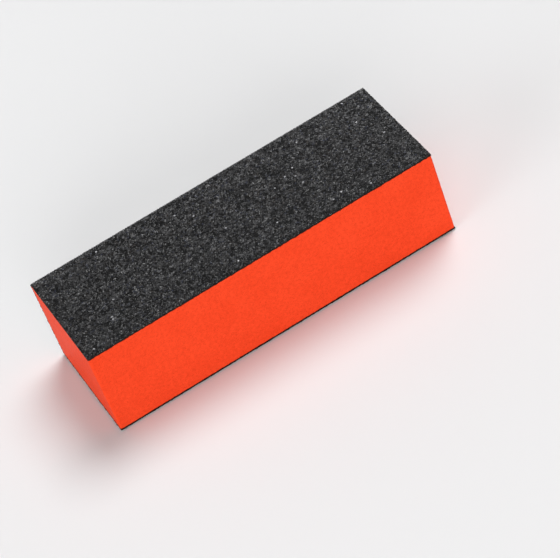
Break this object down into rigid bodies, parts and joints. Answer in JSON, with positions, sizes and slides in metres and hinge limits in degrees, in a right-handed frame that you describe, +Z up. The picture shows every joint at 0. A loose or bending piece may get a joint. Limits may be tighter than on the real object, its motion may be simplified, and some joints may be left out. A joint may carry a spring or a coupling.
{
  "type": "nail buffer block",
  "caption": "Rectangular foam hand buffer for filing nails: an abrasive sheet folds round its wide faces and a narrow face, and leaves the opposite narrow face and the ends bare.",
  "frame": {"origin": "middle of the footprint, on the outside of the lower wide coated face that the block lies on", "axes": "+X along the block's length, -Y out of the bare long face, +Y out of the coated narrow face, +Z up, out of the upper wide coated face"},
  "size_m": [0.095, 0.034, 0.0255],
  "materials": {
    "foam": "matte",
    "adhesive": "satin",
    "backing": "matte",
    "resin": "satin",
    "grit": "satin",
    "size_resin": "satin"
  },
  "bodies": {
    "root": {"foam_core": "foam", "adhesive_film": "adhesive", "backing_paper": "backing", "make_coat": "resin", "abrasive_grit": "grit", "size_coat": "size_resin"}
  },
  "joints": []
}
